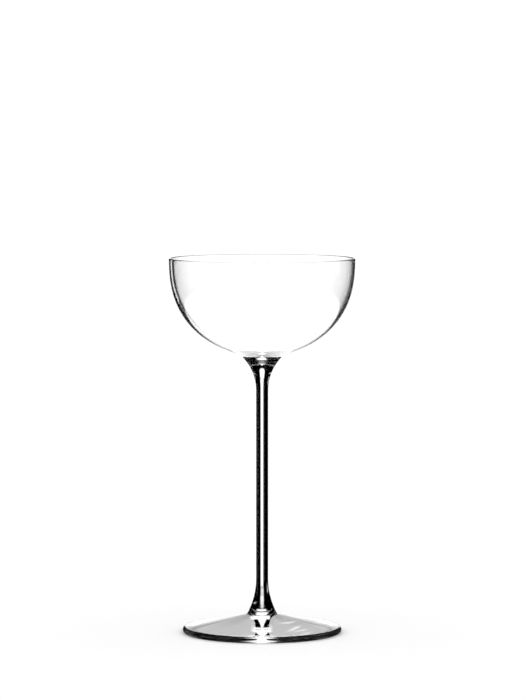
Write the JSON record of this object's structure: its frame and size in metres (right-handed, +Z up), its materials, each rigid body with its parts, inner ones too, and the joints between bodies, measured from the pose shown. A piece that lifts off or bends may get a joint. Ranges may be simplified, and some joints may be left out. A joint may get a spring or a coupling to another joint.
{
  "type": "nick and nora glass",
  "caption": "Clear stemmed cocktail glass with a round open bowl, a tall thin stem that flares at both ends and a wide shallow foot.",
  "frame": {"origin": "centre of the foot's ring, on the surface that the glass stands on", "axes": "+Z up along the axis of the stem, towards the rim; the glass is round, so X and Y are alike"},
  "size_m": [0.0882, 0.0882, 0.178],
  "materials": {
    "clear_glass": "clear, colourless and fire-polished"
  },
  "bodies": {
    "root": {"bowl": "clear_glass", "stem": "clear_glass", "foot": "clear_glass"}
  },
  "joints": []
}
